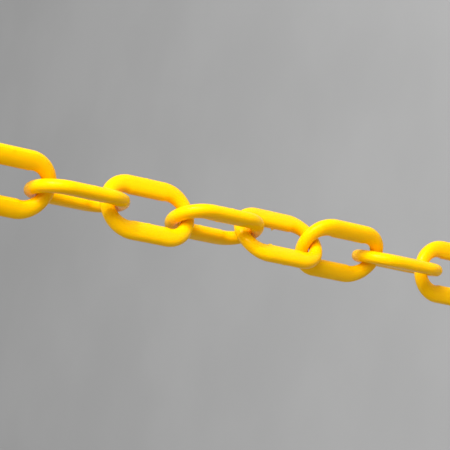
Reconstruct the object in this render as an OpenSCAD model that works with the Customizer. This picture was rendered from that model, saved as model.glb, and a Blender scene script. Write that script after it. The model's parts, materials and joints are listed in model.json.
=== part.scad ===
// Plastic barrier chain: closed oval links between two open end hooks, hanging straight down from
// the seat of its top hook. A link's bends are round bar and its two sides are broader, with the
// extra width on the inside. Each link is one moulding and is a solid of its own, threaded through
// its neighbours.
//
// Frame: +Z is up, and the chain hangs along -Z. The origin is the centre of the top hook's seat,
// where the eye of a post cap passes. The top hook lies in the XZ plane, and the turn of every
// other piece is its angle about Z, counted from there.

/* [Links] */
// Thickness of the round bar of the bends and the hooks
bar_d = 6.5; // [6:0.25:7]
// Outside width of a link
link_w = 33; // [32:0.5:38]
// Outside length of a link
link_l = 52; // [50:0.5:60]
// Width of each of a link's two sides, across the link
side_w = 9.5; // [8:0.25:10]
// Thickness of the flat part of a side
side_t = 6; // [5.25:0.25:6]

/* [End hooks] */
// Radius of a hook's bends, to the middle of the bar
hook_r = 13; // [12:0.5:14]
// Depth of the flat land on the inside of the bend that takes the post's eye
land_depth = 0.75; // [0.4:0.05:1.2]

/* [Fit] */
// Gap between two bars where a piece hangs on the one above it
play = 0.3; // [0.2:0.05:1]
// Rise of a bend on a bar that isn't square to it, as a share of the bar's thickness
ride = 0.2; // [0.2:0.01:0.4]

/* [Hidden] */
$fn = 96;

// Turn of each link about the chain's line, from the top link down, in degrees
turns = [90, 4, 95, 2, 80, -13, 104, 28, 118, 46, 155, 93, 8, 86, 8, 95, 12, 98];
hook_turns = [0, 6];
link_count = len(turns);

bend_r = (link_w - bar_d) / 2;
leg_l = link_l - link_w;
// Distance from a link's middle to the middle of the round inner edge of a side
edge_x = link_w / 2 - side_w + side_t / 2;

// Directions from a hook bend's centre, in the hook's own plane: to where the slanting shank
// touches the bend, on a 3-4-5 triangle, and to where the bend's tip starts, on a 7-24-25 one
touch = [-0.6, -0.8];
tip = [0.96, -0.28];
hook_pitch = 2 * hook_r / -touch[1];
shank_l = -hook_pitch * touch[0];
seat_r = hook_r - bar_d / 2 + land_depth;

// Every piece's turn in order down the chain: the top hook, the links, the bottom hook
all_turns = concat([hook_turns[0]], turns, [hook_turns[1]]);

// Distance between two bars' middles where piece k hangs on piece k - 1
function seat_gap(k) =
    bar_d + play + ride * bar_d * pow(cos(all_turns[k] - all_turns[k - 1]), 2);

// Height of the middle of piece k's lower bar, where 0 is the top hook
function bar_z(k) =
    k == 0 ? -hook_pitch - hook_r : bar_z(k - 1) + seat_gap(k) - (link_l - bar_d);

function link_name(k) = str("link_", k < 10 ? "0" : "", k);

// A half ring of round bar in the XZ plane that opens downwards, about its own centre
module link_bend() {
    rotate([90, 0, 0])
        rotate_extrude(angle = 180)
            translate([bend_r, 0])
                circle(d = bar_d);
}

// The area inside the middle line of a link's bar, as a plate in the XZ plane
module inner_plate() {
    rotate([90, 0, 0])
        linear_extrude(height = bar_d, center = true) {
            for (end = [-1, 1])
                translate([0, end * leg_l / 2])
                    circle(r = bend_r);
            square([2 * bend_r, leg_l], center = true);
        }
}

// The flat part of the side at +X, with its round inner edge, longer than the link
module side_bar() {
    linear_extrude(height = link_l, center = true) {
        translate([edge_x, 0])
            circle(d = side_t);
        translate([edge_x, -side_t / 2])
            square([side_w, side_t]);
    }
}

// A closed oval link in the XZ plane, about its centre
module oval_link() {
    for (side = [-1, 1])
        translate([side * bend_r, 0, -leg_l / 2])
            cylinder(d = bar_d, h = leg_l);
    translate([0, 0, leg_l / 2])
        link_bend();
    translate([0, 0, -leg_l / 2])
        rotate([0, 180, 0])
            link_bend();
    intersection() {
        inner_plate();
        union() {
            side_bar();
            rotate([0, 0, 180])
                side_bar();
        }
    }
}

// The round end of a bar, standing on the XY plane
module tip_dome() {
    rotate_extrude()
        intersection() {
            circle(d = bar_d);
            square(bar_d / 2);
        }
}

// The mouth of a hook's bend, from the shank round to the tip, drawn about the bend's centre
module mouth_outline() {
    reach = 2 * hook_r + bar_d;
    polygon([[0, 0], reach * touch, reach * [0.28, -0.96], reach * tip]);
}

// One bend of a hook in the XZ plane, about its own centre, with a round tip
module hook_bend() {
    rotate([90, 0, 0]) {
        difference() {
            rotate_extrude()
                translate([hook_r, 0])
                    circle(d = bar_d);
            linear_extrude(height = 2 * bar_d, center = true)
                mouth_outline();
        }
        rotate([0, 0, asin(tip[1])])
            translate([hook_r, 0, 0])
                rotate([90, 0, 0])
                    tip_dome();
    }
}

// The slanting bar between a hook's two bends, about its middle
module hook_shank() {
    rotate([0, -acos(-touch[0]), 0])
        cylinder(d = bar_d, h = shank_l, center = true);
}

// What is cut from the bend at the origin to leave the round seat of its flat land
module seat_bore() {
    rotate([90, 0, 0])
        cylinder(r = seat_r, h = 2 * bar_d, center = true);
}

// An S hook in the XZ plane: the bend for the post is at the origin, the chain's is below it
module s_hook() {
    difference() {
        union() {
            hook_bend();
            translate([0, 0, -hook_pitch / 2])
                hook_shank();
            translate([0, 0, -hook_pitch])
                rotate([0, 180, 0])
                    hook_bend();
        }
        seat_bore();
    }
}

module top_hook() {
    color("gold")
        rotate([0, 0, hook_turns[0]])
            s_hook();
}

module chain_link(k) {
    color("gold")
        translate([0, 0, bar_z(k) + (link_l - bar_d) / 2])
            rotate([0, 0, turns[k - 1]])
                oval_link();
}

module bottom_hook() {
    top_bar_z = bar_z(link_count) + seat_gap(link_count + 1);
    color("gold")
        translate([0, 0, top_bar_z - hook_r - hook_pitch])
            rotate([180, 0, hook_turns[1]])
                s_hook();
}

top_hook();
for (k = [1:link_count])
    chain_link(k);
bottom_hook();
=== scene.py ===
"""Looks of a plastic barrier chain with a hook on each end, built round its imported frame.

Every link and both hooks are swept again along their bars, in the place and size of their own
nodes, with what moulding leaves on such a chain: sides that are broader than the bends, a parting
line inside and outside each ring, gate scars, torn flash, and faint flow lines in the plastic.
"""

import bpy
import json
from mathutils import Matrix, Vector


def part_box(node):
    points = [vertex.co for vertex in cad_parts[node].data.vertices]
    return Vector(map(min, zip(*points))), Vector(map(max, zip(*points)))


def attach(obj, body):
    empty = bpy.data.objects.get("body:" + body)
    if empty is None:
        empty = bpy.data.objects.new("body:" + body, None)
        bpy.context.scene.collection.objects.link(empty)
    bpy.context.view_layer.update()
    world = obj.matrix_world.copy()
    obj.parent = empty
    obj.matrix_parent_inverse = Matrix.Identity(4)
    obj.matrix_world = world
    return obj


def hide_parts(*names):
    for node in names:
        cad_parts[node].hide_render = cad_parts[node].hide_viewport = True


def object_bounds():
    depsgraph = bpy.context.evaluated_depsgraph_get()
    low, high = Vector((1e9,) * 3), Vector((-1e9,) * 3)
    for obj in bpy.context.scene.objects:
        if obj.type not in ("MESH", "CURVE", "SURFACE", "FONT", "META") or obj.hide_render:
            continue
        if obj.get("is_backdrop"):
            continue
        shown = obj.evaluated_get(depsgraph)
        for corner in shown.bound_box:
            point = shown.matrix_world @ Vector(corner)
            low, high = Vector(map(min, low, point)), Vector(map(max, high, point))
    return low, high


bl_info = {
    "name": "Plastic Barrier Chain",
    "version": (1, 0, 0),
    "blender": (4, 5, 0),
    "location": "3D View > Sidebar > Barrier Chain",
    "description": "Builds the links, the end hooks and the studio of a plastic barrier chain",
    "category": "Add Mesh",
}

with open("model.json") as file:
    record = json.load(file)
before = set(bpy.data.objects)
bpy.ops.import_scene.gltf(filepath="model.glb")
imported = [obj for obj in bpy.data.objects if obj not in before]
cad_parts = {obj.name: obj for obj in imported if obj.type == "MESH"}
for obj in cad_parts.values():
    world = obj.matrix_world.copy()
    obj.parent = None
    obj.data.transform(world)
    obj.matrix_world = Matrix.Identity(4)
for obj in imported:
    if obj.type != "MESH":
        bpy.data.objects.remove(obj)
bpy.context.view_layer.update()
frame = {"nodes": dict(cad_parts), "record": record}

import json
import math
import random

import bpy
import numpy as np
from mathutils import Matrix, Vector
from mathutils.bvhtree import BVHTree

MM = 0.001
UP = Vector((0, 0, 1))
LINKS = sorted(name for name in frame["nodes"] if name.startswith("link_"))
HOOK_SEATS = {"top_hook": "top_seat", "bottom_hook": "bottom_seat"}

# How finely the bar's surface is divided: round the bar, along it, beside a mark and at a round tip
SIDES = 48
STEP = 0.7 * MM
FINE_STEP = 0.16 * MM
DOME_RINGS = 12
# Angles from a parting line, in degrees, at which the bar gets more corners
BESIDE_LINE = (1.2, 2.4, 3.6, 5.4)

# Angles round the bar of the two parting lines, from the outside of a bend
OUTSIDE = 0.0
INSIDE = math.pi

# A hook's outline as its node has it, in angles about the outer bend's centre
TIP_ANGLE = -math.asin(0.28)
SHANK_ANGLE = math.pi + math.atan2(4, 3)

# Marks that stand out on single links, in millimetres: which side of the link, height above the
# side's middle, how far the mark stands off the bar, its length, and its kind
CLEAR_MARKS = {
    "link_08": ((-1, 1.7, 0.4, 2.6, "step"), (1, -8.3, 0.3, 1.2, "nib")),
    "link_10": ((1, -0.5, 1.0, 2.4, "nib"), (-1, 9.6, 0.55, 3.2, "torn")),
}


# ---- What the frame says -----------------------------------------------------------------------

def link_place(node):
    """(centre, direction across, length, width, bar thickness) of a link, from its node."""
    low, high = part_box(node)
    centre = (low + high) / 2
    corners = np.array([v.co for v in frame["nodes"][node].data.vertices], float)
    flat = corners[:, :2] - np.array(centre)[:2]
    spread = flat.T @ flat
    turn = math.atan2(2 * spread[0, 1], spread[0, 0] - spread[1, 1]) / 2
    across = Vector((math.cos(turn), math.sin(turn), 0))
    if across.x < 0:
        across = -across
    width = 2 * np.abs(flat @ np.array(across)[:2]).max()
    bar = 2 * np.abs(flat @ np.array(UP.cross(across))[:2]).max()
    return centre, across, high.z - low.z, width, bar


def side_width(node):
    """Width of one of a link's sides: what is outside the largest ball that fits in its opening."""
    centre, _, _, width, _ = link_place(node)
    mesh = frame["nodes"][node].data
    surface = BVHTree.FromPolygons([v.co for v in mesh.vertices], [f.vertices for f in mesh.polygons])
    return width / 2 - surface.find_nearest(centre)[3]


def hook_place(node):
    """(centre of the outer seat, direction across, way out from the chain, seat radius) of a hook."""
    mount = next(m for m in frame["record"]["mounts"] if m["name"] == HOOK_SEATS[node])
    seat = Vector(mount["pos_m"])
    low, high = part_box(node)
    outward = UP if seat.z > (low.z + high.z) / 2 else -UP
    return seat, Vector(mount["axis"]).cross(UP).normalized(), outward, mount["dims"]["r_mm"] * MM


def placing(origin, across, upward):
    """The matrix from a piece's own plane, x across and z upward, into the row frame."""
    normal = upward.cross(across)
    turn = Matrix((across, normal, upward)).transposed().to_4x4()
    return Matrix.Translation(origin) @ turn


_, _, LINK_LENGTH, LINK_WIDTH, BAR = link_place(LINKS[0])
SIDE_WIDTH = side_width(LINKS[0])
HOOK_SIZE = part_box("top_hook")[1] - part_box("top_hook")[0]

# How a side's extra width runs out round the bend: above 1 sooner, below 1 later
SIDE_TAPER = 0.75
# Shape of a side's section: 0 makes it an ellipse, and 0.5 a flat bar with round edges
SIDE_FLATNESS = 0.5


# ---- Settings ----------------------------------------------------------------------------------

class MouldingSettings(bpy.types.PropertyGroup):
    """Sizes of the links and hooks, and of the marks that their mould leaves."""

    link_length: bpy.props.FloatProperty(
        name="Link length", description="Outside length of a link",
        default=LINK_LENGTH, unit="LENGTH", precision=4)
    link_width: bpy.props.FloatProperty(
        name="Link width", description="Outside width of a link",
        default=LINK_WIDTH, unit="LENGTH", precision=4)
    side_width: bpy.props.FloatProperty(
        name="Side width", description="Width of each of a link's two sides",
        default=SIDE_WIDTH, unit="LENGTH", precision=4)
    side_thickness: bpy.props.FloatProperty(
        name="Side thickness", description="Thickness of a side as a share of the bar's",
        default=1.03, min=0.8, max=1.1, subtype="FACTOR")
    hook_length: bpy.props.FloatProperty(
        name="Hook length", description="Outside length of an end hook",
        default=HOOK_SIZE.z, unit="LENGTH", precision=4)
    hook_width: bpy.props.FloatProperty(
        name="Hook width", description="Outside width of an end hook",
        default=HOOK_SIZE.x, unit="LENGTH", precision=4)
    bar: bpy.props.FloatProperty(
        name="Bar", description="Thickness of the round bar of the bends and the hooks",
        default=BAR, unit="LENGTH", precision=4)
    line_height: bpy.props.FloatProperty(
        name="Parting line height", description="How far the parting line stands off the bar",
        default=0.1 * MM, unit="LENGTH", precision=5)
    line_width: bpy.props.FloatProperty(
        name="Parting line width", description="Width of the parting line at its foot",
        default=0.5 * MM, unit="LENGTH", precision=5)
    unevenness: bpy.props.FloatProperty(
        name="Unevenness", description="How far the bar's surface wanders from a true round",
        default=0.05 * MM, unit="LENGTH", precision=5)
    seed: bpy.props.IntProperty(
        name="Seed", description="Start of the random draws for the marks", default=7)


class PlasticSettings(bpy.types.PropertyGroup):
    """Colours and surface of the moulded plastic."""

    colour: bpy.props.FloatVectorProperty(
        name="Colour", description="Main colour of the plastic",
        default=(1.0, 0.525, 0.0005), size=3, min=0, max=1, subtype="COLOR")
    deep_colour: bpy.props.FloatVectorProperty(
        name="Deep colour", description="Colour of the flow marks in the plastic",
        default=(1.0, 0.49, 0.0005), size=3, min=0, max=1, subtype="COLOR")
    # Deeper amber mixed in on the inside of the bends, where the next link sits: partly rubbing wear,
    # partly painted shade of the nest between links.
    rub_and_shade_colour: bpy.props.FloatVectorProperty(
        name="Rubbed colour", description="Colour where the bars rub on each other",
        default=(0.96, 0.45, 0.001), size=3, min=0, max=1, subtype="COLOR")
    roughness: bpy.props.FloatProperty(
        name="Roughness", description="Roughness of the clean surface",
        default=0.17, min=0, max=1, subtype="FACTOR")
    scatter: bpy.props.FloatProperty(
        name="Scatter", description="Share of the light that goes through the plastic's skin",
        default=0.35, min=0, max=1, subtype="FACTOR")
    scatter_depth: bpy.props.FloatProperty(
        name="Scatter depth", description="How far light goes into the plastic",
        default=2.2 * MM, unit="LENGTH", precision=5)


class StudioSettings(bpy.types.PropertyGroup):
    """The camera, the floor and the lights."""

    distance: bpy.props.FloatProperty(
        name="Distance", description="Camera's distance from the chain",
        default=0.9014, unit="LENGTH")
    look_down: bpy.props.FloatProperty(
        name="Look down", description="Angle at which the camera looks down",
        default=math.radians(33.26), subtype="ANGLE")
    roll: bpy.props.FloatProperty(
        name="Roll", description="Turn of the camera about its own axis, which lays the chain across",
        default=math.radians(-78.11), subtype="ANGLE")
    aim_right: bpy.props.FloatProperty(
        name="Aim right", description="How far right of the middle links the camera aims",
        default=-10.82 * MM, unit="LENGTH", precision=5)
    aim_up: bpy.props.FloatProperty(
        name="Aim up", description="How far above the middle links the camera aims",
        default=3.22 * MM, unit="LENGTH", precision=5)
    lens: bpy.props.FloatProperty(
        name="Lens", description="Focal length of the camera, in millimetres", default=146.8)
    floor_gap: bpy.props.FloatProperty(
        name="Floor gap", description="Height of the lower hook above the floor",
        default=0.07, unit="LENGTH")
    floor_colour: bpy.props.FloatVectorProperty(
        name="Floor colour", description="Colour of the floor",
        default=(0.32, 0.32, 0.32), size=3, min=0, max=1, subtype="COLOR")
    key_power: bpy.props.FloatProperty(
        name="Key power", description="Power of the large soft light", default=45, unit="POWER")
    glint_power: bpy.props.FloatProperty(
        name="Glint power", description="Power of the small light that puts glints on the bends",
        default=9, unit="POWER")
    fill_power: bpy.props.FloatProperty(
        name="Fill power", description="Power of the soft light on the shaded side",
        default=2, unit="POWER")
    surround: bpy.props.FloatProperty(
        name="Surround", description="Brightness of the light from all round", default=0.52, min=0)


# ---- The bar's path ----------------------------------------------------------------------------

class BarPath:
    """The middle line of a bent bar, flat in the piece's own plane, as (across, up) points."""

    def __init__(self, closed):
        self.closed = closed
        self.parts = []
        self.length = 0.0

    def line(self, start, end):
        """Adds a straight part."""
        length = math.dist(start, end)
        way = ((end[0] - start[0]) / length, (end[1] - start[1]) / length)
        self.parts.append((self.length, length, start, way, None))
        self.length += length

    def arc(self, centre, radius, start_angle, sweep):
        """Adds a bend about a centre. A positive sweep turns anticlockwise."""
        length = radius * abs(sweep)
        self.parts.append((self.length, length, centre, (start_angle, sweep), radius))
        self.length += length

    def at(self, distance):
        """(point, tangent) at a distance along the path."""
        part = next((p for p in self.parts if distance <= p[0] + p[1]), self.parts[-1])
        begin, length, origin, way, radius = part
        gone = distance - begin
        if radius is None:
            return (origin[0] + way[0] * gone, origin[1] + way[1] * gone), way
        angle = way[0] + way[1] * gone / length
        sign = math.copysign(1, way[1])
        across, up = math.cos(angle), math.sin(angle)
        return (origin[0] + radius * across, origin[1] + radius * up), (-sign * up, sign * across)


def link_path(moulding):
    """The closed oval of a link, anticlockwise from the middle of its top bend."""
    bend = (moulding.link_width - moulding.bar) / 2
    half_leg = (moulding.link_length - moulding.link_width) / 2
    path = BarPath(closed=True)
    path.arc((0, half_leg), bend, math.pi / 2, math.pi / 2)
    path.line((-bend, half_leg), (-bend, -half_leg))
    path.arc((0, -half_leg), bend, math.pi, math.pi)
    path.line((bend, -half_leg), (bend, half_leg))
    path.arc((0, half_leg), bend, 0, math.pi / 2)
    return path


def leg_spot(moulding, side, above):
    """Distance along a link's path to a point on one leg, above or below the leg's middle."""
    quarter = math.pi / 4 * (moulding.link_width - moulding.bar)
    leg = moulding.link_length - moulding.link_width
    if side < 0:
        return quarter + leg / 2 - above
    return 3 * quarter + 1.5 * leg + above


def hook_path(moulding):
    """The open S of a hook, from its outer tip, about the centre of its outer bend."""
    bend = (moulding.hook_width - moulding.bar) / 2
    pitch = moulding.hook_length - moulding.hook_width
    sweep = SHANK_ANGLE - TIP_ANGLE
    touch = (bend * math.cos(SHANK_ANGLE), bend * math.sin(SHANK_ANGLE))
    path = BarPath(closed=False)
    path.arc((0, 0), bend, TIP_ANGLE, sweep)
    path.line(touch, (-touch[0], -pitch - touch[1]))
    path.arc((0, -pitch), bend, SHANK_ANGLE - math.pi, -sweep)
    return path


# ---- The bar's surface -------------------------------------------------------------------------

def spots_along(path, marks):
    """Distances along the path at which the bar gets a ring of corners, closer beside a mark."""
    count = math.ceil(path.length / STEP)
    spots = [path.length * i / count for i in range(count + 1)]
    for mark in marks:
        fine = math.ceil(mark["length"] * 0.6 / FINE_STEP)
        spots += [mark["at"] + i * FINE_STEP for i in range(-fine, fine + 1)]
    kept = [0.0]
    for spot in sorted(spots):
        if kept[-1] + FINE_STEP * 0.6 < spot <= path.length:
            kept.append(spot)
    return np.array(kept[:-1] if path.closed else kept)


def angles_round(edges=()):
    """Angles round the bar, closer beside the parting lines and at the given edges, in degrees."""
    even = [360 * i / SIDES for i in range(SIDES)]
    beside = [(line + side * step) % 360
              for line in (0, 180) for side in (-1, 1) for step in BESIDE_LINE]
    return np.radians(sorted(even + beside + list(edges)))


def wave(draw, counts, spots, length):
    """A smooth random wave from -1 to 1, whose waves fit a whole number of times in the length."""
    total = np.zeros(len(spots))
    for count in counts:
        total += draw.uniform(0.4, 1) * np.sin(2 * math.pi * (count * spots / length + draw.random()))
    return total / len(counts)


def from_line(angles, line):
    """How far each angle round the bar is from a parting line."""
    return np.abs((angles - line + math.pi) % (2 * math.pi) - math.pi)


def mark_relief(mark, spots, angles, bar):
    """How far a mark stands off the bar, for each ring and each angle round it.

    A scar is a low disc with a dish in it, a nib a leaning point, a step a flat-topped ridge, and
    torn flash a row of uneven teeth.
    """
    along = (spots - mark["at"]) / (mark["length"] / 2)
    around = from_line(angles, mark["line"]) * bar / 2 / mark["half_width"]
    if mark["kind"] == "scar":
        away = np.hypot(along[:, None], around[None, :])
        rise = np.clip((1 - away) * 4, 0, 1) - 0.45 * np.clip(1 - away * 2.2, 0, 1)
        return mark["height"] * rise
    if mark["kind"] == "nib":
        profile = np.clip(np.where(along < 0.25, (1 + along) / 1.25, (1 - along) / 0.75), 0, 1) ** 1.4
    elif mark["kind"] == "step":
        profile = np.clip((1 - np.abs(along)) * 5, 0, 1) * (0.8 + 0.2 * along)
    else:
        teeth = np.abs(np.sin(along * 6.1 + 0.7)) * 0.55 + np.abs(np.sin(along * 14.3)) * 0.25
        profile = np.clip((1 - np.abs(along)) * 3, 0, 1) * (0.2 + teeth)
    profile = np.where(np.abs(along) < 1, profile, 0)
    fin = np.clip(1 - around, 0, 1) ** 0.8
    return mark["height"] * profile[:, None] * fin[None, :]


def bar_radius(path, moulding, marks, draw, spots, angles, turned, wear_and_shade):
    """The bar's radius at each ring and angle, with its unevenness, parting lines and marks."""
    radius = np.full((len(spots), len(angles)), moulding.bar / 2)
    radius += moulding.unevenness / 2 * wave(draw, (1, 2, 3, 5), spots, path.length)[:, None]
    lean = 2 * wave(draw, (1, 2), spots, path.length)
    radius += moulding.unevenness / 2 * np.cos(2 * turned + lean[:, None])
    for line in (OUTSIDE, INSIDE):
        ridge = np.clip(1 - from_line(angles, line) * moulding.bar / moulding.line_width, 0, 1)
        height = 0.7 + 0.5 * wave(draw, (7, 11, 17, 23), spots, path.length)
        if line == INSIDE:
            height = height * (1 - 0.9 * wear_and_shade)
        radius += moulding.line_height * height[:, None] * ridge[None, :]
    for mark in marks:
        radius += mark_relief(mark, spots, angles, moulding.bar)
    return radius


def bar_skin(path, moulding, marks, draw, rubbed_and_shaded, breadth=None, hand=0, edges=()):
    """The corners of the bar's surface, ring by ring, with the flow line and the rubbing and painted
    shade at each corner.

    rubbed_and_shaded and breadth give, for each point of the path, how much its inside rubs on
    another bar, which also sets the painted shade on the inside of the bends, and how much of a
    side's
    extra width it has. hand is the way that the parting lines swing round the bar from bend to side:
    a mould lies at 45 degrees to every link, as neighbours are square.
    """
    spots = spots_along(path, marks)
    angles = angles_round(edges)
    places = [path.at(spot) for spot in spots]
    points = np.array([point for point, _ in places])
    ways = np.array([way for _, way in places])
    bends_left = ways[:, [1, 0]] * [1, -1]
    wear_and_shade = rubbed_and_shaded(points)
    broad = breadth(points) if breadth else np.zeros(len(spots))
    turned = angles[None, :] - hand * np.arctan(bends_left[:, :1])

    radius = bar_radius(path, moulding, marks, draw, spots, angles, turned, wear_and_shade)
    facing = np.cos(turned)
    extra = (moulding.side_width - moulding.bar) / 2 * broad[:, None]
    spread = facing * (1 + SIDE_FLATNESS - SIDE_FLATNESS * facing ** 2)
    outward = radius * facing + extra * (spread - 1)
    thickness = 1 + (moulding.side_thickness - 1) * broad[:, None]
    corners = np.empty(radius.shape + (3,))
    corners[:, :, 0] = points[:, :1] + bends_left[:, :1] * outward
    corners[:, :, 1] = thickness * radius * np.sin(turned)
    corners[:, :, 2] = points[:, 1:] + bends_left[:, 1:] * outward

    flow = np.empty_like(corners)
    along = np.minimum(spots, path.length - spots) if path.closed else spots
    flow[:, :, 0] = along[:, None] + draw.uniform(0, 9)
    flow[:, :, 1] = outward + points[:, :1] / 2
    flow[:, :, 2] = corners[:, :, 1]
    # Inside of the bends: rubbing wear, and the mask of the painted shade where the next link sits.
    rub_and_shade = wear_and_shade[:, None] * np.clip(-facing * 1.6 - 0.4, 0, 1)
    return corners, flow, rub_and_shade


def ring_faces(first, second, sides):
    """Four-sided faces between two rings of corners, the second further along the bar."""
    nexts = [(j, (j + 1) % sides) for j in range(sides)]
    return [(first + j, first + k, second + k, second + j) for j, k in nexts]


def join_rings(corners, flow, rub_and_shade, closed):
    """Flat lists of corners, flow, rubbing with painted shade, and faces. An open bar gets a round
    end at each tip.
    """
    rings, sides = corners.shape[:2]
    faces = []
    for i in range(rings if closed else rings - 1):
        faces += ring_faces(i * sides, (i + 1) % rings * sides, sides)
    columns = [[corners.reshape(-1, 3)], [flow.reshape(-1, 3)], [rub_and_shade.reshape(-1)]]
    count = rings * sides
    for end, back in () if closed else ((0, 1), (rings - 1, rings - 2)):
        ring, middle = corners[end], corners[end].mean(0)
        way = middle - corners[back].mean(0)
        way /= np.linalg.norm(way)
        reach = np.linalg.norm(ring - middle, axis=1).mean()
        last = end * sides
        turned = []
        for step in range(1, DOME_RINGS):
            angle = math.pi / 2 * step / DOME_RINGS
            size, slide = math.cos(angle), reach * math.sin(angle)
            columns[0].append(middle + (ring - middle) * size + way * slide)
            columns[1].append(flow[end] * [1, size, size] + [slide, 0, 0])
            columns[2].append(rub_and_shade[end] * size)
            turned += ring_faces(last, count, sides)
            last, count = count, count + sides
        columns[0].append([middle + way * reach])
        columns[1].append([flow[end].mean(0) * [1, 0, 0] + [reach, 0, 0]])
        columns[2].append([0.0])
        turned += [(last + j, last + (j + 1) % sides, count) for j in range(sides)]
        faces += turned if end else [face[::-1] for face in turned]
        count += 1
    return [np.concatenate(column) for column in columns] + [faces]


def piece_from(name, node, skin, closed, place, material, seat=0.0):
    """Makes the piece that stands for a node, and lets it ride on the body of the same name."""
    corners, flow, rub_and_shade, faces = join_rings(*skin, closed)
    if seat:
        from_seat = np.hypot(corners[:, 0], corners[:, 2])
        push = np.maximum(seat / from_seat, 1)
        corners = corners * np.stack([push, np.ones_like(push), push], 1)
    mesh = bpy.data.meshes.new(name)
    mesh.from_pydata(corners.tolist(), [], faces)
    mesh.transform(place)
    mesh.attributes.new("flow", "FLOAT_VECTOR", "POINT").data.foreach_set("vector", flow.ravel())
    mesh.attributes.new("rub_and_shade", "FLOAT", "POINT").data.foreach_set("value", rub_and_shade)
    mesh.shade_smooth()
    mesh.materials.append(material)
    piece = bpy.data.objects.new(name, mesh)
    bpy.context.scene.collection.objects.link(piece)
    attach(piece, node)
    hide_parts(node)
    return piece


# ---- The pieces --------------------------------------------------------------------------------

def mark(at, height, length, kind, line=INSIDE, half_width=0.55 * MM):
    """One mark that the mould left on a parting line."""
    return {"at": at, "height": height * MM, "length": length * MM, "kind": kind,
            "line": line, "half_width": half_width}


def link_marks(name, moulding, draw):
    """The gate scar and bits of flash of one link: chosen on some, drawn by chance on the others."""
    side = draw.choice((-1, 1))
    scar = mark(leg_spot(moulding, side, draw.uniform(-2, 2) * MM), 0.16, 1.9, "scar",
                line=OUTSIDE, half_width=0.95 * MM)
    chosen = CLEAR_MARKS.get(name)
    if chosen is None:
        chosen = [(draw.choice((-1, 1)), draw.uniform(-8, 8), draw.uniform(0.1, 0.22),
                   draw.uniform(1.2, 2.6), draw.choice(("nib", "step", "torn"))) for _ in range(2)]
    flash = [mark(leg_spot(moulding, side, above * MM), height, length, kind)
             for side, above, height, length, kind in chosen]
    return [scar] + flash


def build_link(name, number, moulding, material):
    """One closed oval link in the place of its node."""
    centre, across, *_ = link_place(name)
    draw = random.Random(moulding.seed * 1000 + number)
    path = link_path(moulding)
    half_leg = (moulding.link_length - moulding.link_width) / 2
    bend = (moulding.link_width - moulding.bar) / 2

    def into_bend(points):
        return np.clip((np.abs(points[:, 1]) - half_leg) / bend, 0, 1)

    # How far into a bend a point is: sets the rubbing wear and the painted shade on the inside of the
    # bends.
    def rubbed_and_shaded(points):
        return into_bend(points) ** 2 * (3 - 2 * into_bend(points))

    def breadth(points):
        return (1 - into_bend(points)) ** SIDE_TAPER

    marks = link_marks(name, moulding, draw)
    hand = -1 if number % 2 else 1
    skin = bar_skin(path, moulding, marks, draw, rubbed_and_shaded, breadth, hand)
    piece = piece_from(name + "_moulded", name, skin, True, placing(centre, across, UP), material)
    return piece


def build_hook(name, number, moulding, material):
    """One open S hook in the place of its node, with the flat land of its round seat."""
    seat, across, outward, seat_radius = hook_place(name)
    draw = random.Random(moulding.seed * 1000 + 500 + number)
    path = hook_path(moulding)
    pitch = moulding.hook_length - moulding.hook_width
    bend = (moulding.hook_width - moulding.bar) / 2
    middle = path.length / 2
    marks = [mark(middle, 0.2, 2.4, "scar", line=OUTSIDE, half_width=1.1 * MM),
             mark(middle - 5 * MM, 0.2, 2.2, "torn"),
             mark(middle + 6 * MM, 0.16, 1.4, "nib")]

    # How far into the lower bend a point is: sets the rubbing wear and the painted shade on the
    # inside of that bend.
    def rubbed_and_shaded(points):
        low = np.clip((-points[:, 1] - pitch) / bend, 0, 1)
        return low * low * (3 - 2 * low)

    land_edge = math.degrees(math.acos((bend - seat_radius) / (moulding.bar / 2)))
    edges = [side * angle % 360 for side in (-1, 1) for angle in (land_edge - 0.8, land_edge + 0.8)]
    skin = bar_skin(path, moulding, marks, draw, rubbed_and_shaded, edges=edges)
    piece = piece_from(name + "_moulded", name, skin, False, placing(seat, across, outward),
                       material, seat_radius)
    return piece


# ---- Materials ---------------------------------------------------------------------------------

PLASTIC_IOR = 1.46
# The strength and colour of the plastic's gloss
GLOSS = 0.22
GLOSS_TINT = (1, 0.82, 0.2, 1)
# How far red, green and blue light go into the plastic, as shares of its scatter depth
SCATTER_SHARES = (1.0, 0.7, 0.05)
# How much deeper the hooks' colour is than the links'
HOOK_DEEPENING = 0.12
FLOOR_ROUGHNESS = 0.85


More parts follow.
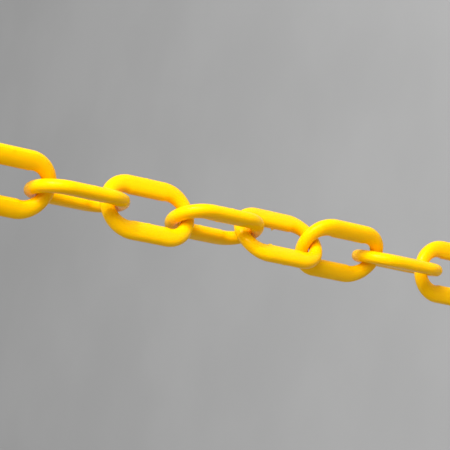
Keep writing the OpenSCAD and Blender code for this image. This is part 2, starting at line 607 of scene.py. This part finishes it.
class Nodes:
    """Adds and joins the nodes of one material."""

    def __init__(self, name):
        self.material = bpy.data.materials.new(name)
        self.material.use_nodes = True
        self.tree = self.material.node_tree
        self.shader = self.tree.nodes["Principled BSDF"]

    def add(self, kind, settings=None, **inputs):
        """Adds a node. Input names have _ for spaces, and a value may be another node's output."""
        node = self.tree.nodes.new(kind)
        for key, value in (settings or {}).items():
            setattr(node, key, value)
        for key, value in inputs.items():
            self.put(node.inputs[key.replace("_", " ")], value)
        return node

    def put(self, socket, value):
        """Sets a socket, or joins it to another node's output."""
        if isinstance(value, bpy.types.NodeSocket):
            self.tree.links.new(value, socket)
        else:
            socket.default_value = value

    def noise(self, vector, scale, detail=3.0, roughness=0.5):
        """A noise pattern's value."""
        node = self.add("ShaderNodeTexNoise", Vector=vector, Scale=scale, Detail=detail,
                        Roughness=roughness)
        return node.outputs["Fac"]

    def stretched(self, vector, scale):
        """The same coordinates, stretched."""
        return self.add("ShaderNodeMapping", Vector=vector, Scale=scale).outputs["Vector"]

    def between(self, value, low, high, to_low=0.0, to_high=1.0):
        """Maps a value's range to another one, with smooth ends."""
        node = self.add("ShaderNodeMapRange", {"interpolation_type": "SMOOTHSTEP"}, Value=value)
        limits = {"From Min": low, "From Max": high, "To Min": to_low, "To Max": to_high}
        for key, number in limits.items():
            node.inputs[key].default_value = number
        return node.outputs["Result"]

    def maths(self, operation, first, second):
        """One sum of two values."""
        node = self.tree.nodes.new("ShaderNodeMath")
        node.operation = operation
        self.put(node.inputs[0], first)
        self.put(node.inputs[1], second)
        return node.outputs[0]

    def mix(self, share, first, second):
        """A mix of two colours."""
        node = self.tree.nodes.new("ShaderNodeMix")
        node.data_type = "RGBA"
        self.put(node.inputs["Factor"], share)
        for socket, value in ((node.inputs[6], first), (node.inputs[7], second)):
            self.put(socket, value if isinstance(value, bpy.types.NodeSocket) else (*value, 1))
        return node.outputs[2]

    def attribute(self, name, output):
        """A value stored at the mesh's corners."""
        node = self.add("ShaderNodeAttribute", {"attribute_name": name})
        return node.outputs[output]


def moulded_plastic(name, plastic, deepen=0.0):
    """Glossy through-coloured plastic with flow lines, faint scratches and rubbed bearing spots,
    whose deeper amber colour is partly painted shade where one link nests in the next.
    """
    nodes = Nodes(name)
    flow = nodes.attribute("flow", "Vector")
    rub_and_shade = nodes.attribute("rub_and_shade", "Fac")
    ground = nodes.add("ShaderNodeTexCoord").outputs["Object"]

    streaks = nodes.noise(nodes.stretched(flow, (60, 1400, 1400)), 1.0, 4, 0.6)
    clouds = nodes.noise(nodes.stretched(flow, (45, 130, 130)), 1.0, 2)
    peel = nodes.noise(ground, 1500, 2)
    scratches = nodes.noise(nodes.stretched(flow, (160, 2600, 700)), 1.0, 2, 0.4)
    scratch = nodes.between(scratches, 0.66, 0.74)
    # The rubbing mask: the inside of the bends where the next link sits, broken up by noise. It
    # darkens the colour there as painted shade, and roughens the surface as wear.
    rubbing_and_shade = nodes.maths("MULTIPLY", rub_and_shade, nodes.between(nodes.noise(ground, 420, 4), 0.35, 0.7))

    cloudy = nodes.between(clouds, 0.4, 0.72, deepen, 0.55 + deepen)
    body = nodes.mix(cloudy, plastic.colour, plastic.deep_colour)
    veined = nodes.mix(nodes.between(streaks, 0.5, 0.8, 0, 0.4), body, plastic.deep_colour)
    # Painted shade: the deeper amber rubbed colour mixed in on the inside of the bends.
    nodes.put(nodes.shader.inputs["Base Color"], nodes.mix(rubbing_and_shade, veined, plastic.rub_and_shade_colour))

    dull = nodes.between(clouds, 0.3, 0.7, plastic.roughness - 0.05, plastic.roughness + 0.07)
    scratched = nodes.maths("ADD", dull, nodes.maths("MULTIPLY", scratch, 0.16))
    nodes.put(nodes.shader.inputs["Roughness"],
              nodes.maths("ADD", scratched, nodes.maths("MULTIPLY", rubbing_and_shade, 0.25)))

    relief = nodes.maths("ADD", nodes.maths("MULTIPLY", streaks, 0.5),
                         nodes.maths("MULTIPLY", peel, 0.35))
    relief = nodes.maths("SUBTRACT", relief, nodes.maths("MULTIPLY", scratch, 0.5))
    bump = nodes.add("ShaderNodeBump", Strength=0.2, Distance=0.05 * MM, Height=relief)
    nodes.put(nodes.shader.inputs["Normal"], bump.outputs["Normal"])

    nodes.shader.inputs["IOR"].default_value = PLASTIC_IOR
    nodes.shader.inputs["Specular IOR Level"].default_value = GLOSS
    nodes.shader.inputs["Specular Tint"].default_value = GLOSS_TINT
    nodes.shader.inputs["Subsurface Weight"].default_value = plastic.scatter
    nodes.shader.inputs["Subsurface Radius"].default_value = SCATTER_SHARES
    nodes.shader.inputs["Subsurface Scale"].default_value = plastic.scatter_depth
    return nodes.material


def floor_material(colour):
    """A plain pale floor with a barely uneven tone."""
    nodes = Nodes("studio_floor")
    ground = nodes.add("ShaderNodeTexCoord").outputs["Object"]
    tone = nodes.between(nodes.noise(ground, 5, 4), 0.35, 0.65)
    paler = tuple(min(1, value * 1.06) for value in colour)
    nodes.put(nodes.shader.inputs["Base Color"], nodes.mix(tone, colour, paler))
    nodes.shader.inputs["Roughness"].default_value = FLOOR_ROUGHNESS
    return nodes.material


# ---- The studio --------------------------------------------------------------------------------

# Where each light is from the middle of the view: its share of the camera's right, up and forward,
# then its distance and its size in metres
LIGHT_PLACES = {
    "key": ((-0.2, 0.7, -0.7), 1.7, 1.3),
    "glint": ((-0.3, 0.75, -0.6), 1.5, 0.07),
    "fill": ((0.4, -0.7, -0.4), 1.9, 1.4),
}
FLOOR_RINGS = (1.5, 4, 9, 20)
FLOOR_SIDES = 96


def camera_axes(studio):
    """(right, up, forward) of the camera in the row frame."""
    down, roll = studio.look_down, studio.roll
    level_up = Vector((0, math.sin(down), math.cos(down)))
    level_right = Vector((1, 0, 0))
    right = level_right * math.cos(roll) + level_up * math.sin(roll)
    up = level_up * math.cos(roll) - level_right * math.sin(roll)
    return right, up, Vector((0, math.cos(down), -math.sin(down)))


def middle_of_view():
    """The point half way between the two middle links in the camera's view."""
    return (link_place("link_09")[0] + link_place("link_10")[0]) / 2


def add_camera(studio):
    """The camera, rolled so that the hanging chain crosses its view."""
    right, up, forward = camera_axes(studio)
    data = bpy.data.cameras.new("camera")
    data.lens = studio.lens
    camera = bpy.data.objects.new("camera", data)
    bpy.context.scene.collection.objects.link(camera)
    aim = middle_of_view() + right * studio.aim_right + up * studio.aim_up
    turn = Matrix((right, up, -forward)).transposed().to_4x4()
    camera.matrix_world = Matrix.Translation(aim - forward * studio.distance) @ turn
    bpy.context.scene.camera = camera


def add_light(name, axes, power):
    """A square soft light that faces the middle of the view from its place."""
    shares, distance, size = LIGHT_PLACES[name]
    data = bpy.data.lights.new(name, "AREA")
    data.size = size
    data.energy = power
    light = bpy.data.objects.new(name, data)
    bpy.context.scene.collection.objects.link(light)
    toward = sum((axis * share for axis, share in zip(axes, shares)), Vector()).normalized()
    light.location = middle_of_view() + toward * distance
    light.rotation_mode = "QUATERNION"
    light.rotation_quaternion = toward.to_track_quat("Z", "Y")


def add_floor(studio):
    """A wide round floor under the chain."""
    low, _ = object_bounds()
    corners = [(0, 0, 0)]
    for ring in FLOOR_RINGS:
        around = [math.tau * i / FLOOR_SIDES for i in range(FLOOR_SIDES)]
        corners += [(ring * math.cos(angle), ring * math.sin(angle), 0) for angle in around]
    faces = [(0, 1 + i, 1 + (i + 1) % FLOOR_SIDES) for i in range(FLOOR_SIDES)]
    for inner in range(len(FLOOR_RINGS) - 1):
        first = 1 + inner * FLOOR_SIDES
        faces += [(a, d, c, b) for a, b, c, d in ring_faces(first, first + FLOOR_SIDES, FLOOR_SIDES)]
    mesh = bpy.data.meshes.new("floor")
    mesh.from_pydata(corners, [], faces)
    mesh.materials.append(floor_material(tuple(studio.floor_colour)))
    floor = bpy.data.objects.new("floor", mesh)
    floor.location = (0, 0, low.z - studio.floor_gap)
    bpy.context.scene.collection.objects.link(floor)
    floor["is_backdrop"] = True


def add_surround(strength):
    """Even light from all round."""
    world = bpy.data.worlds.new("surround")
    world.use_nodes = True
    background = world.node_tree.nodes["Background"]
    background.inputs["Color"].default_value = (1, 1, 1, 1)
    background.inputs["Strength"].default_value = strength
    bpy.context.scene.world = world


# ---- Operators and panel -----------------------------------------------------------------------

class BARRIERCHAIN_OT_links(bpy.types.Operator):
    """Build every oval link of the chain in the place of its node"""

    bl_idname = "barrier_chain.links"
    bl_label = "Build Links"

    def execute(self, context):
        moulding, plastic = context.scene.chain_moulding, context.scene.chain_plastic
        material = moulded_plastic("chain_plastic", plastic)
        for number, name in enumerate(LINKS, 1):
            build_link(name, number, moulding, material)
        return {"FINISHED"}


class BARRIERCHAIN_OT_hooks(bpy.types.Operator):
    """Build the open hook on each end of the chain"""

    bl_idname = "barrier_chain.hooks"
    bl_label = "Build Hooks"

    def execute(self, context):
        moulding, plastic = context.scene.chain_moulding, context.scene.chain_plastic
        material = moulded_plastic("hook_plastic", plastic, deepen=HOOK_DEEPENING)
        for number, name in enumerate(sorted(HOOK_SEATS), 1):
            build_hook(name, number, moulding, material)
        return {"FINISHED"}


class BARRIERCHAIN_OT_studio(bpy.types.Operator):
    """Set up the floor, the lights and the camera"""

    bl_idname = "barrier_chain.studio"
    bl_label = "Set Up Studio"

    def execute(self, context):
        studio = context.scene.chain_studio
        add_camera(studio)
        add_floor(studio)
        axes = camera_axes(studio)
        add_light("key", axes, studio.key_power)
        add_light("glint", axes, studio.glint_power)
        add_light("fill", axes, studio.fill_power)
        add_surround(studio.surround)
        context.scene.view_settings.view_transform = "Standard"
        return {"FINISHED"}


class BARRIERCHAIN_PT_build(bpy.types.Panel):
    """Lists what builds the chain, with its settings"""

    bl_label = "Barrier Chain"
    bl_idname = "BARRIERCHAIN_PT_build"
    bl_space_type = "VIEW_3D"
    bl_region_type = "UI"
    bl_category = "Barrier Chain"

    def draw(self, context):
        for operator in OPERATORS:
            self.layout.operator(operator.bl_idname)
        for name in SETTINGS:
            settings = getattr(context.scene, name)
            box = self.layout.box()
            for key in settings.__annotations__:
                box.prop(settings, key)


OPERATORS = (BARRIERCHAIN_OT_links, BARRIERCHAIN_OT_hooks, BARRIERCHAIN_OT_studio)
SETTINGS = {
    "chain_moulding": MouldingSettings,
    "chain_plastic": PlasticSettings,
    "chain_studio": StudioSettings,
}


def register():
    """Registers the settings, the operators and the panel."""
    for name, group in SETTINGS.items():
        bpy.utils.register_class(group)
        setattr(bpy.types.Scene, name, bpy.props.PointerProperty(type=group))
    for cls in (*OPERATORS, BARRIERCHAIN_PT_build):
        bpy.utils.register_class(cls)


def unregister():
    """Takes back what register() did."""
    for cls in (BARRIERCHAIN_PT_build, *reversed(OPERATORS)):
        bpy.utils.unregister_class(cls)
    for name, group in reversed(SETTINGS.items()):
        delattr(bpy.types.Scene, name)
        bpy.utils.unregister_class(group)


def main():
    """Builds everything in order."""
    register()
    bpy.ops.barrier_chain.links()
    bpy.ops.barrier_chain.hooks()
    bpy.ops.barrier_chain.studio()


if __name__ == "__main__":
    main()
